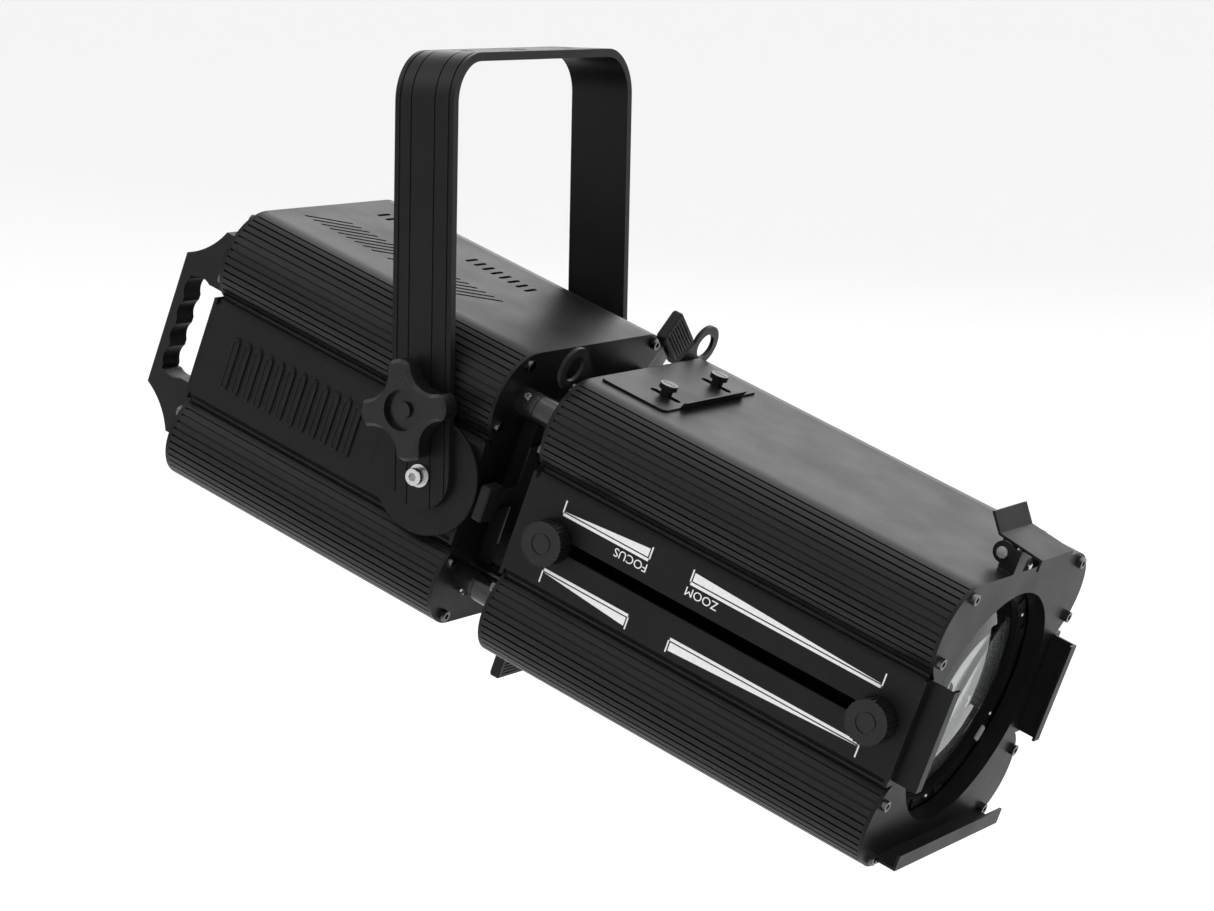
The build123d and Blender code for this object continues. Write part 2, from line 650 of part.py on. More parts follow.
for hand, word in ((-1, "left"), (1, "right")):
    grip_back = REAR_X - HANDLE_OUT
    grip_front = grip_back + GRIP_THICK
    with BuildPart() as handle:
        with BuildSketch(side(hand * (HANDLE_Y - HANDLE_WIDE / 2))) as outline:
            with BuildLine():
                for sz in (-1, 1):
                    Polyline((REAR_X, 0), (REAR_X, sz * HANDLE_HALF), (REAR_X - 22, sz * HANDLE_HALF))
                    Line((grip_back, 0), (grip_back, sz * GRIP_HALF))
                    ThreePointArc((REAR_X - 22, sz * HANDLE_HALF),
                                  (REAR_X - 33, sz * (HANDLE_HALF - 16)), (grip_back, sz * GRIP_HALF))
            make_face()
            with BuildLine():
                Polyline((REAR_X + 1, -OPENING_HALF - 4), (REAR_X - 6, -OPENING_HALF),
                         (grip_front, -OPENING_HALF), (grip_front, OPENING_HALF),
                         (REAR_X - 6, OPENING_HALF), (REAR_X + 1, OPENING_HALF + 4), close=True)
            make_face(mode=Mode.SUBTRACT)
            for i in range(4):
                with Locations((grip_front + FINGER_R - FINGER_DEEP, -28.5 + 19 * i)):
                    Circle(FINGER_R, mode=Mode.SUBTRACT)
        extrude(amount=outward(hand) * HANDLE_WIDE)
        with BuildSketch(across(REAR_X - CAP_TALL - LOOSE)):
            with Locations((hand * screw_spots[1][0], screw_spots[1][1]),
                           (hand * screw_spots[1][0], -screw_spots[1][1])):
                Circle(CAP_R + 1)
        extrude(amount=CAP_TALL + LOOSE, mode=Mode.SUBTRACT)
    save(handle, f"handle_{word}")

# ---------------------------------------------------------------- gate and shutters
GATE_HALF = 68.0
GATE_BACK, GATE_MID, GATE_FACE = 48.0, 60.0, 64.0
STRUT_SPOT, STRUT_R = 62.0, 4.0
with BuildPart() as gate_frame:
    for x_from, x_to in ((BULKHEAD_X, GATE_BACK), (GATE_MID, GATE_FACE)):
        with BuildSketch(across(x_from)):
            RectangleRounded(2 * GATE_HALF, 2 * GATE_HALF, 8)
            Circle(BEAM_R, mode=Mode.SUBTRACT)
        extrude(amount=x_to - x_from)
    for sy, sz in quadrants:
        with BuildSketch(across(GATE_BACK)):
            with Locations((sy * STRUT_SPOT, sz * STRUT_SPOT)):
                Circle(STRUT_R)
        extrude(amount=GATE_MID - GATE_BACK)
    for sy, sz in quadrants:
        with BuildSketch(across(BULKHEAD_X)):
            with Locations((sy * CORNER_Y, sz * CORNER_Z)):
                Circle(POST_R + LOOSE)
        extrude(amount=GATE_FACE, mode=Mode.SUBTRACT)
save(gate_frame, "gate_frame")


def spoke(x, angle):
    """Plane square to the beam whose local x points outward along the given angle."""
    out = (0, cos(radians(angle)), sin(radians(angle)))
    rim, centre = Vector(*head_point(*out)), Vector(*head_point(0, 0, 0))
    return Plane(origin=head_point(x, 0, 0), x_dir=rim - centre, z_dir=beam)


# name, angle from +Y, blade plane, outer end of the grip
NECK_HALF = 8.0
BLADE_END = 72.0
shutter_set = (("left", 180.0, 49.5, 118.0), ("right", 0.0, 52.0, 118.0),
               ("top", 90.0 - SHUTTER_LEAN, 54.5, 156.0), ("bottom", -90.0, 57.0, 156.0))
SHUTTER_GRIP_THICK = 8.4
GRIP_RIBS, RIB_PITCH = 7, 2.8

for word, angle, x, reach in shutter_set:
    long_grip = reach > 130
    grip_from = reach - (26.0 if long_grip else 20.0)
    grip_half = 22.0 if long_grip else 14.0
    with BuildPart() as blade:
        with BuildSketch(spoke(x, angle)):
            with Locations(((BEAM_R + BLADE_END) / 2, 0)):
                Rectangle(BLADE_END - BEAM_R, 2 * BLADE_HALF)
            with Locations(((BLADE_END + grip_from) / 2 + 4, 0)):
                Rectangle(grip_from - BLADE_END + 12, 2 * NECK_HALF)
        extrude(amount=BLADE)
    save(blade, f"shutter_{word}")
    with BuildPart() as grip:
        with BuildSketch(spoke(x + BLADE / 2 - SHUTTER_GRIP_THICK / 2, angle)):
            with Locations(((grip_from + reach) / 2, 0)):
                RectangleRounded(reach - grip_from, 2 * grip_half, 3)
        extrude(amount=SHUTTER_GRIP_THICK)
        faces = grip.faces().filter_by(GeomType.PLANE).sort_by(SortBy.AREA)[-2:]
        chamfer(faces.edges(), 1.2)
        if long_grip:
            for face in (-1, 1):
                grip_face = x + BLADE / 2 + face * SHUTTER_GRIP_THICK / 2
                with BuildSketch(spoke(grip_face, angle)):
                    for i in range(GRIP_RIBS):
                        with Locations((grip_from + 5 + i * RIB_PITCH, 0)):
                            Rectangle(1.2, 2 * grip_half - 8)
                extrude(amount=-face * 0.8, mode=Mode.SUBTRACT)
        with BuildSketch(spoke(x, angle)):
            with Locations((grip_from + 5, 0)):
                Rectangle(10.0, 2 * NECK_HALF)
        extrude(amount=BLADE, mode=Mode.SUBTRACT)
    save(grip, f"shutter_grip_{word}")

RING_Y, RING_Z = 96.0, 117.0
with BuildPart() as cassette:
    with BuildSketch(across(CASSETTE_X)):
        with Locations((0, 16)):
            RectangleRounded(2 * CASSETTE_HALF, 156, 5)
        for hand in (-1, 1):
            with BuildLine():
                Polyline((hand * (CASSETTE_HALF - 20), 94), (hand * (CASSETTE_HALF - 6), 85),
                         (hand * (RING_Y + 3), RING_Z - 14), (hand * (RING_Y - 8), RING_Z + 12),
                         (hand * (CASSETTE_HALF - 20), 94), close=False)
            make_face()
            with Locations((hand * RING_Y, RING_Z)):
                Ellipse(18, 16)
        for hand in (-1, 1):
            with Locations((hand * RING_Y, RING_Z)):
                Ellipse(11.5, 9.5, mode=Mode.SUBTRACT)
        Circle(BEAM_R, mode=Mode.SUBTRACT)
    extrude(amount=CASSETTE_THICK)
save(cassette, "effects_cassette")

# ---------------------------------------------------------------- light engine
SINK_X, SINK_BASE = -72.0, 8.0
FIN_BACK = -150.0
with BuildPart() as heat_sink:
    with BuildSketch(across(SINK_X)):
        with Locations((0, 20)):
            Rectangle(168, 152)
        Rectangle(2 * (SIDE_SEAT - 5), 84)
    extrude(amount=SINK_BASE)
    with BuildSketch(across(FIN_BACK)):
        for i in range(17):
            with Locations((-80 + 10 * i, 20)):
                Rectangle(2.2, 150)
    extrude(amount=SINK_X - FIN_BACK)
save(heat_sink, "heat_sink")

LED_X = SINK_X + SINK_BASE
with BuildPart() as led_board:
    with BuildSketch(across(LED_X)):
        RectangleRounded(64, 64, 4)
    extrude(amount=3)
    with BuildSketch(across(LED_X + 3)):
        Circle(15)
    extrude(amount=1.5)
save(led_board, "led_board")

FAN_Z, FAN_HALF, FAN_LONG = 20.0, 60.0, 25.0
FAN_X = FIN_BACK - FAN_LONG
FAN_SHAFT_R = 3.0
with BuildPart() as fan_frame:
    with BuildSketch(across(FAN_X)):
        with Locations((0, FAN_Z)):
            RectangleRounded(2 * FAN_HALF, 2 * FAN_HALF, 6)
            Circle(FAN_HALF - 3, mode=Mode.SUBTRACT)
    extrude(amount=FAN_LONG)
    with BuildSketch(across(FAN_X)):
        with Locations((0, FAN_Z)):
            Circle(18)
            Rectangle(2 * FAN_HALF - 4, 5)
            Rectangle(5, 2 * FAN_HALF - 4)
    extrude(amount=3)
    with BuildSketch(across(FAN_X + 3)):
        with Locations((0, FAN_Z)):
            Circle(FAN_SHAFT_R)
    extrude(amount=16)
save(fan_frame, "fan_frame")

with BuildPart() as fan_rotor:
    with BuildSketch(across(FAN_X + 4)):
        with Locations((0, FAN_Z)):
            Circle(18)
    extrude(amount=18)
    for i in range(7):
        with BuildSketch(across(FAN_X + 5)):
            with Locations(Location((0, FAN_Z), 360 / 7 * i)):
                with Locations((34, 0)):
                    Rectangle(38, 9)
        extrude(amount=15)
    with BuildSketch(across(FAN_X + 3)):
        with Locations((0, FAN_Z)):
            Circle(FAN_SHAFT_R + RUN)
    extrude(amount=17, mode=Mode.SUBTRACT)
save(fan_rotor, "fan_rotor")


def turned(points):
    """Solid of revolution about the beam from (x, radius) points."""
    with BuildPart() as piece:
        with BuildSketch(side(0)):
            with BuildLine():
                Polyline([(x, r) for x, r in points], close=True)
            make_face()
        revolve(axis=Axis(head_point(0, 0, 0), beam), revolution_arc=360)
    return piece


cup_back, cup_front = LED_X + 5, bulkhead_back
save(turned(((cup_back, 17), (-20, 40), (5, 49), (cup_front - 4, 52), (cup_front - 4, 58),
             (cup_front, 58), (cup_front, 50), (6, 47), (-19, 38), (cup_back + 1, 15.5))),
     "collimator")

DRIVER_FROM, DRIVER_TO = -198.0, -84.0
with BuildPart() as driver_box:
    with BuildSketch(flat(-HALF_HEIGHT + SHEET)):
        with Locations(((DRIVER_FROM + DRIVER_TO) / 2, 0)):
            RectangleRounded(DRIVER_TO - DRIVER_FROM, 136, 3)
    extrude(amount=44)
save(driver_box, "driver_box")

# ---------------------------------------------------------------- lenses
with BuildPart() as guide_rods:
    for s in (-1, 1):
        with BuildSketch(across(gate_front)):
            with Locations((s * ROD_Y, s * ROD_Z)):
                Circle(ROD_R)
        extrude(amount=front_inside - gate_front)
save(guide_rods, "guide_rods")

STEM_R = 3.5
STEM_OUT = 11.0               # end of a carriage's stud outside the side panel
rod_angle = degrees(atan2(ROD_Z, ROD_Y))
LENS_SEAT = 3.0


def carriage(x, lens_r):
    """Lens carriage: a ring on two guide bushes, with the lock knob's stud on its left."""
    back = x - CARRIAGE_LONG / 2
    with BuildPart() as ring:
        with BuildSketch(across(back)):
            Circle(CARRIAGE_R)
            for s in (-1, 1):
                with Locations((s * ROD_Y, s * ROD_Z)):
                    Circle(ROD_R + 5)
                with Locations(Location((s * ROD_Y * 0.9, s * ROD_Z * 0.9), rod_angle)):
                    Rectangle(24, 14)
            with Locations((-CARRIAGE_R + 2, 0)):
                Rectangle(14, 16)
            Circle(lens_r - LENS_SEAT, mode=Mode.SUBTRACT)
            for s in (-1, 1):
                with Locations((s * ROD_Y, s * ROD_Z)):
                    Circle(ROD_R + RUN, mode=Mode.SUBTRACT)
        extrude(amount=CARRIAGE_LONG)
        with BuildSketch(across(back + 3)):
            Circle(lens_r)
        extrude(amount=CARRIAGE_LONG - 3, mode=Mode.SUBTRACT)
        with BuildSketch(side(-CARRIAGE_R + 3)):          # stud, out through the panel's slot
            with Locations((x, 0)):
                Circle(STEM_R)
        extrude(amount=SIDE_FACE + STEM_OUT - CARRIAGE_R + 3)
    return ring


def lens(x, lens_r, bulge):
    """Plano-convex lens seated in a carriage, its curved side forward."""
    back = x - CARRIAGE_LONG / 2 + 3
    with BuildPart() as glass:
        with BuildSketch(side(0)):
            with BuildLine():
                Polyline((back + 6 + bulge, 0), (back, 0), (back, lens_r), (back + 6, lens_r))
                mid = lens_r * 0.5
                sphere = (lens_r ** 2 + bulge ** 2) / (2 * bulge)
                ThreePointArc((back + 6, lens_r),
                              (back + 6 + bulge - sphere + sqrt(sphere ** 2 - mid ** 2), mid),
                              (back + 6 + bulge, 0))
            make_face()
        revolve(axis=Axis(head_point(0, 0, 0), beam), revolution_arc=360)
    return glass


def lens_ring(x, lens_r):
    """Flat retaining ring on the front of a carriage, over the edge of the lens."""
    with BuildPart() as ring:
        with BuildSketch(across(x + CARRIAGE_LONG / 2)):
            Circle(CARRIAGE_R - 3)
            Circle(lens_r + LOOSE, mode=Mode.SUBTRACT)
        extrude(amount=2)
        with BuildSketch(across(x + CARRIAGE_LONG / 2 - 4)):
            Circle(lens_r - 0.1)
            Circle(lens_r - 1.5, mode=Mode.SUBTRACT)
        extrude(amount=6)
        with BuildSketch(across(x + CARRIAGE_LONG / 2)):
            Circle(lens_r + 1)
            Circle(lens_r - 1.5, mode=Mode.SUBTRACT)
        extrude(amount=2)
    return ring


def knob(x):
    """Round lock knob of a carriage: fine grips round the rim and a disc let into the face."""
    with BuildPart() as lock:
        with BuildSketch(side(-SIDE_FACE - 1.0)):
            with Locations((x, 0)):
                Circle(KNOB_R)
                with PolarLocations(KNOB_R + 0.5, 30):
                    Circle(1.1, mode=Mode.SUBTRACT)
        extrude(amount=15)
        with BuildSketch(side(-SIDE_FACE - 16.0)):
            with Locations((x, 0)):
                Circle(8.0)
                Circle(7.0, mode=Mode.SUBTRACT)
        extrude(amount=-0.8, mode=Mode.SUBTRACT)
        with BuildSketch(side(-SIDE_FACE - 1.0)):
            with Locations((x, 0)):
                Circle(STEM_R + RUN)
        extrude(amount=STEM_OUT, mode=Mode.SUBTRACT)
    return lock


for word, x, lens_r, bulge in (("focus", FOCUS_X, FOCUS_LENS_R, 16.0),
                               ("zoom", ZOOM_X, ZOOM_LENS_R, 15.0)):
    save(carriage(x, lens_r), f"{word}_carriage")
    save(lens(x, lens_r, bulge), f"{word}_lens")
    save(lens_ring(x, lens_r), f"{word}_lens_ring")
    save(knob(x), f"{word}_knob")

# ---------------------------------------------------------------- top cover and latch
with BuildPart() as slot_cover:
    with BuildSketch(flat(HALF_HEIGHT + SLIP)):
        with Locations((COVER_X + COVER_LONG / 2, 0)):
            RectangleRounded(COVER_LONG, 2 * COVER_HALF, 5)
        with Locations((THUMB_X, -THUMB_Y), (THUMB_X, THUMB_Y)):
            SlotOverall(COVER_SLOT, 2 * THUMB_R + 2, mode=Mode.SUBTRACT)
    extrude(amount=COVER_THICK)
    with BuildSketch(side(-COVER_HALF + 24)):
        with BuildLine():
            Polyline((COVER_X + COVER_LONG - 1.5, HALF_HEIGHT + SLIP),
                     (COVER_X + COVER_LONG, HALF_HEIGHT + SLIP),
                     (COVER_X + COVER_LONG + 3, HALF_HEIGHT + 6),
                     (COVER_X + COVER_LONG + 1.5, HALF_HEIGHT + 6), close=True)
        make_face()
    extrude(amount=-2 * (COVER_HALF - 24))
save(slot_cover, "slot_cover")

for hand, word in ((-1, "left"), (1, "right")):
    with BuildPart() as thumbscrew:
        with BuildSketch(flat(THUMB_UNDER)):
            with Locations((THUMB_X, hand * THUMB_Y)):
                Circle(4.5)
        extrude(amount=5)
        with BuildSketch(flat(THUMB_UNDER + 5)):
            with Locations((THUMB_X, hand * THUMB_Y)):
                Circle(6.8)
                with PolarLocations(7.1, 20):
                    Circle(0.6, mode=Mode.SUBTRACT)
        extrude(amount=4)
        with BuildSketch(flat(THUMB_UNDER)):
            with Locations((THUMB_X, hand * THUMB_Y)):
                Circle(THUMB_R + RUN)
        extrude(amount=THUMB_SEAT, mode=Mode.SUBTRACT)
        slit = thumbscrew.faces().sort_by(lambda f: f.center().dot(Vector(*up)))[-1]
        with BuildSketch(Plane(origin=slit.center(), x_dir=beam, z_dir=up)):
            Rectangle(10, 1.2)
        extrude(amount=-1.2, mode=Mode.SUBTRACT)
    save(thumbscrew, f"thumbscrew_{word}")

PIN_HEAD_R, PIN_HEAD_TALL = 4.2, 2.2
with BuildPart() as latch_pin:
    with BuildSketch(side(EAR_Y + CHANNEL_WALL)):
        with Locations((HINGE_X, HINGE_Z)):
            Circle(PIN_R)
    extrude(amount=2 * (EAR_Y + CHANNEL_WALL))
    for hand in (-1, 1):
        with BuildSketch(side(hand * (EAR_Y + CHANNEL_WALL))):
            with Locations((HINGE_X, HINGE_Z)):
                Circle(PIN_HEAD_R)
        extrude(amount=outward(hand) * PIN_HEAD_TALL)
save(latch_pin, "latch_pin")

LATCH_HALF = 27.0
LATCH_SHEET = 1.8
LATCH_RISE = 10.0             # rear edge of its plate above the pin
LATCH_DROP = 4.0              # how far the plate falls towards its front lip
LATCH_BACK = 8.0              # plate behind the pin
LATCH_REACH = 14.4            # lip in front of the front plate
LIP_TALL = 9.0
TAB_UP, TAB_BACK = 12.5, 10.0
latch_rear = (HINGE_X - LATCH_BACK, HINGE_Z + LATCH_RISE)
latch_front = (FRONT_X + LATCH_REACH, HINGE_Z + LATCH_RISE - LATCH_DROP)
with BuildPart() as latch:
    with BuildSketch(side(LATCH_HALF)):
        with BuildLine():
            Polyline((latch_rear[0] - TAB_BACK, latch_rear[1] + TAB_UP), latch_rear, latch_front,
                     (latch_front[0], latch_front[1] - LIP_TALL),
                     (latch_front[0] - LATCH_SHEET, latch_front[1] - LIP_TALL),
                     (latch_front[0] - LATCH_SHEET, latch_front[1] - LATCH_SHEET),
                     (latch_rear[0] - 1, latch_rear[1] - LATCH_SHEET),
                     (latch_rear[0] - TAB_BACK - LATCH_SHEET, latch_rear[1] + TAB_UP - 1), close=True)
        make_face()
    extrude(amount=2 * LATCH_HALF)
    for hand in (-1, 1):
        with BuildSketch(side(hand * (LATCH_HALF - LATCH_SHEET))):
            with BuildLine():
                Polyline((HINGE_X - 5, HINGE_Z), (HINGE_X - 5, HINGE_Z + LATCH_RISE - 1.5),
                         (HINGE_X + 8, HINGE_Z + LATCH_RISE - 2.5), (HINGE_X + 5, HINGE_Z), close=True)
            make_face()
            with Locations((HINGE_X, HINGE_Z)):
                Circle(5.0)
                Circle(PIN_R + RUN, mode=Mode.SUBTRACT)
        extrude(amount=outward(hand) * LATCH_SHEET)
save(latch, "top_latch")

# ---------------------------------------------------------------- rear controls
PANEL_THICK = 4.0
MENU_Y, MENU_Z, MENU_R = 38.0, 37.0, 11.0
with BuildPart() as control_panel:
    with BuildSketch(across(REAR_X - PANEL_THICK)):
        with Locations((0, (PANEL_LOW + PANEL_HIGH) / 2)):
            RectangleRounded(2 * PANEL_Y, PANEL_HIGH - PANEL_LOW, 6)
    extrude(amount=PANEL_THICK)
    with BuildSketch(across(REAR_X - PANEL_THICK)):
        with Locations((-18, MENU_Z)):
            RectangleRounded(62, 40, 2)
    extrude(amount=1.2, mode=Mode.SUBTRACT)
    with BuildSketch(across(REAR_X - PANEL_THICK)):
        with Locations((MENU_Y, MENU_Z)):
            Circle(3 + RUN)
    extrude(amount=PANEL_THICK, mode=Mode.SUBTRACT)
save(control_panel, "control_panel")

with BuildPart() as menu_knob:
    with BuildSketch(across(REAR_X - PANEL_THICK - 0.5)):
        with Locations((MENU_Y, MENU_Z)):
            Circle(MENU_R)
            with PolarLocations(MENU_R + 0.4, 24):
                Circle(0.9, mode=Mode.SUBTRACT)
    extrude(amount=-13)
    with BuildSketch(across(REAR_X - PANEL_THICK - 0.5)):
        with Locations((MENU_Y, MENU_Z)):
            Circle(3.0)
    extrude(amount=PANEL_THICK + 4)
save(menu_knob, "menu_knob")

with BuildPart() as sockets:
    for y, z in inlet_spots:
        with BuildSketch(across(REAR_X - 2)):
            with Locations((y, z)):
                RectangleRounded(30, 34, 3)
        extrude(amount=2)
        with BuildSketch(across(REAR_X)):
            with Locations((y, z)):
                Circle(12.0)
        extrude(amount=20)
        with BuildSketch(across(REAR_X - 2)):
            with Locations((y, z)):
                Circle(10.5)
                Circle(8.5, mode=Mode.SUBTRACT)
        extrude(amount=9, mode=Mode.SUBTRACT)
save(sockets, "rear_sockets")
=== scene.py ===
# %% [markdown]
# # A zoom profile spotlight
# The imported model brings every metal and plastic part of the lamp, in its real place and size.
# This lesson adds what those solids don't have: the finish of each material, the printed scales,
# the pressed rims of the louvres, and the small fittings round the lens and on the rear panel.

import json
import math

import bpy
import numpy as np
from mathutils import Matrix, Vector


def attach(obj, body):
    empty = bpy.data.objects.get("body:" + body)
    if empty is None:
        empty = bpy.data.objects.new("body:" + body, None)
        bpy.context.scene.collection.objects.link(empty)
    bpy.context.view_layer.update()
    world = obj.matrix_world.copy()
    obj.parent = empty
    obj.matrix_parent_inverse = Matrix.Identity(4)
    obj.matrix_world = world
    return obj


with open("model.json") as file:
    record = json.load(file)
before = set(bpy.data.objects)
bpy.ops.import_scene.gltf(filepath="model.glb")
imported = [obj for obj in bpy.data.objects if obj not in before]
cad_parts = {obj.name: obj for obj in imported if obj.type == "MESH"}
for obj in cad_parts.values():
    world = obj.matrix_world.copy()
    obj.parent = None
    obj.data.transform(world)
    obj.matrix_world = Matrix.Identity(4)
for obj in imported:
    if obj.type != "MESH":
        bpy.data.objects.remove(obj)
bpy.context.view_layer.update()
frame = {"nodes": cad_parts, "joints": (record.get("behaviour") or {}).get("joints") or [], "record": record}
MM = 0.001

# %% [markdown]
# ## The lamp head's own directions
# The head hangs nose down from two pivots, so its panels are not square to the room. Every new
# piece is laid out along the beam, across it, and square to the top panel, starting from the
# pivot. The joints already know these directions: the lens slides along the beam, and the
# effects cassette lifts out square to the top panel. Reading them there means that nothing has
# to be typed twice.

# %% Directions of the head
joints = {joint["name"]: joint for joint in frame["joints"]}
beam = np.array(joints["focus_slide"]["axis"], float)
up = np.array(joints["cassette_lift"]["axis"], float)
across = np.cross(up, beam)
pivot = np.array(joints["tilt"]["pos_m"], float)
nose_down = math.atan2(-beam[2], beam[0])


def place(x, y, z):
    """Points x along the beam, y across it and z square to the top, in mm from the pivot."""
    x, y, z = np.broadcast_arrays(np.asarray(x, float), y, z)
    return pivot + MM * (x[..., None] * beam + y[..., None] * across + z[..., None] * up)


def extent(node):
    """Lowest and highest corner of a part, in mm, measured along the head's own directions."""
    mesh = frame["nodes"][node].data
    spots = np.empty(len(mesh.vertices) * 3)
    mesh.vertices.foreach_get("co", spots)
    offset = spots.reshape(-1, 3) - pivot
    local = np.stack([offset @ beam, offset @ across, offset @ up], 1) / MM
    return local.min(0), local.max(0)


print("nose down by", round(math.degrees(nose_down), 1), "degrees")

# %% [markdown]
# ## One way to make a skin
# All the new pieces are grids of points. A grid can close on itself one way, like a tube, and
# have its two ends closed by a flat face. A closed skin has to face outwards, or light and
# printing both go wrong. The sum of the little pyramids from the origin to each face is the
# volume inside, so when that sum is negative the skin is inside out and its faces are turned.

# %% Grid to mesh
def grid_faces(rows, columns):
    """Quads of a grid of rows by columns points, closed round the columns, with end caps."""
    index = np.arange(rows * columns).reshape(rows, columns)
    turned = np.roll(index, -1, axis=1)
    quads = np.stack([index[:-1], index[1:], turned[1:], turned[:-1]], -1).reshape(-1, 4)
    return quads.tolist() + [index[0].tolist(), index[-1][::-1].tolist()]


def volume(points, faces):
    """Volume inside a closed skin: a sixth of the sum of its fans' triple products."""
    total = 0.0
    for face in faces:
        ring = points[face]
        total += np.einsum("ij,ij->", np.cross(ring[1:-1], ring[2:]),
                           np.broadcast_to(ring[0], ring[2:].shape))
    return total / 6


def skin(name, grids, finish, body, smooth=False):
    """A piece made of closed grids, each an array of rows by columns by 3, riding on a body."""
    points, faces = [], []
    start = 0
    for grid in grids:
        rows, columns = grid.shape[:2]
        flat_points = grid.reshape(-1, 3)
        own = grid_faces(rows, columns)
        if volume(flat_points - flat_points.mean(0), own) < 0:
            own = [face[::-1] for face in own]
        faces += [[start + corner for corner in face] for face in own]
        points.append(flat_points)
        start += rows * columns
    mesh = bpy.data.meshes.new(name)
    mesh.from_pydata(np.concatenate(points).tolist(), [], faces)
    mesh.polygons.foreach_set("use_smooth", np.full(len(faces), smooth))
    mesh.update()
    piece = bpy.data.objects.new(name, mesh)
    bpy.context.scene.collection.objects.link(piece)
    mesh.materials.append(finish)
    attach(piece, body)
    print(name, len(faces), "faces")


# %% [markdown]
# ## Camera, floor and light
# A long lens from a little above shows the left side, the top and the lens. The room is a wide
# white dish: flat under the lamp and curving up far away, so that no edge of it shows from any
# side. A black lamp is mostly seen by what it mirrors. One large soft light behind it, above the
# top panels, gives these their grey sheen, and a smaller one from the left draws the edges.

# %% Camera
CAMERA_AT = Vector((1.4219, -2.2938, 0.0814))
HEADING, LOOK_DOWN, ROLL = math.radians(30.27), math.radians(8.11), math.radians(1.18)
LENS_LONG, SENSOR_WIDE = 107.2, 36.0      # millimetres
camera_data = bpy.data.cameras.new("camera")
camera_data.lens = LENS_LONG
camera_data.sensor_width = SENSOR_WIDE
camera = bpy.data.objects.new("camera", camera_data)
bpy.context.scene.collection.objects.link(camera)
camera.matrix_world = (Matrix.Translation(CAMERA_AT) @ Matrix.Rotation(HEADING, 4, "Z")
                       @ Matrix.Rotation(math.pi / 2 - LOOK_DOWN, 4, "X")
                       @ Matrix.Rotation(ROLL, 4, "Z"))
bpy.context.scene.camera = camera
print("camera", round((CAMERA_AT - Vector(pivot)).length, 2), "m from the pivot")

# %% White dish
FLOOR_DROP = 0.9              # metres below the yoke's top, so the lamp hangs clear of it
FLAT_TO, DISH_TO, DISH_RISE = 2.0, 9.0, 5.0
DISH_TURNS, DISH_RINGS = 96, 40
INNER_RING, NEXT_RING = 0.01, 0.5
FLOOR_WHITE, FLOOR_ROUGH = 0.9, 0.9
turns = np.linspace(0, 2 * np.pi, DISH_TURNS + 1)[:-1]
reach = np.concatenate([[INNER_RING], np.linspace(NEXT_RING, DISH_TO, DISH_RINGS)])
rise = DISH_RISE * np.clip((reach - FLAT_TO) / (DISH_TO - FLAT_TO), 0, 1) ** 2 - FLOOR_DROP
dish_points = np.stack([reach[:, None] * np.cos(turns), reach[:, None] * np.sin(turns),
                        np.broadcast_to(rise[:, None], (len(reach), len(turns)))], -1)
dish_mesh = bpy.data.meshes.new("floor")
dish_mesh.from_pydata(dish_points.reshape(-1, 3).tolist(), [],
                      [face[::-1] for face in grid_faces(len(reach), len(turns))[:-1]])
dish_mesh.polygons.foreach_set("use_smooth", np.full(len(dish_mesh.polygons), True))
floor = bpy.data.objects.new("floor", dish_mesh)
bpy.context.scene.collection.objects.link(floor)
floor_paint = bpy.data.materials.new("floor_paint")
floor_paint.use_nodes = True
floor_shader = floor_paint.node_tree.nodes["Principled BSDF"]
floor_shader.inputs["Base Color"].default_value = (FLOOR_WHITE, FLOOR_WHITE, FLOOR_WHITE, 1)
floor_shader.inputs["Roughness"].default_value = FLOOR_ROUGH
dish_mesh.materials.append(floor_paint)


# %% Lights
LIGHTS_AIM = Vector((0.07, 0.0, -0.3))        # about the middle of the head
SKY_STRENGTH = 0.98


def soft_light(name, direction, distance, size, power):
    """Square soft light at a distance from the lamp, turned to face it."""
    data = bpy.data.lights.new(name, "AREA")
    data.size = size
    data.energy = power
    lamp = bpy.data.objects.new(name, data)
    out = Vector(direction).normalized()
    lamp.location = LIGHTS_AIM + distance * out
    lamp.rotation_euler = out.to_track_quat("Z", "Y").to_euler()
    bpy.context.scene.collection.objects.link(lamp)
    print(name, power, "W")


# each light's way out from the lamp, then its distance and side in metres, then its power in watts
soft_light("back_light", (-0.30, 0.84, 0.62), distance=3.2, size=2.6, power=30)
soft_light("left_light", (-0.75, -0.55, 0.85), distance=3.0, size=1.6, power=14)
soft_light("top_light", (0.2, -0.1, 1.0), distance=3.4, size=2.4, power=20)
sky = bpy.data.worlds.new("sky")
sky.use_nodes = True
sky.node_tree.nodes["Background"].inputs["Color"].default_value = (1, 1, 1, 1)
sky.node_tree.nodes["Background"].inputs["Strength"].default_value = SKY_STRENGTH
bpy.context.scene.world = sky
bpy.context.scene.view_settings.view_transform = "Standard"

# %% [markdown]
# ## Finishes
# The lamp is black all over, but not one black. Sheet metal has a satin powder coat with a fine
# pebbled skin; the rails are anodised, with faint draw lines along their length; the knobs are
# moulded and a little glossier. Each finish mixes two close tones by a soft cloud, lets its
# roughness drift by the same cloud, and gets its skin from a fine bump. The cloud's axes are
# turned with the head, so that draw lines follow the beam. Everything reads object coordinates,
# which are the same metres as the model.

# %% A finish
COAT_ROUGH = 0.12
CLOUD_DETAIL, GRAIN_DETAIL = 6.0, 3.0
CLOUD_LOW, CLOUD_HIGH = 0.3, 0.7      # where in the cloud's range the two tones are reached
SKIN_HEIGHT = 0.0002                  # metres that the skin's bump stands for


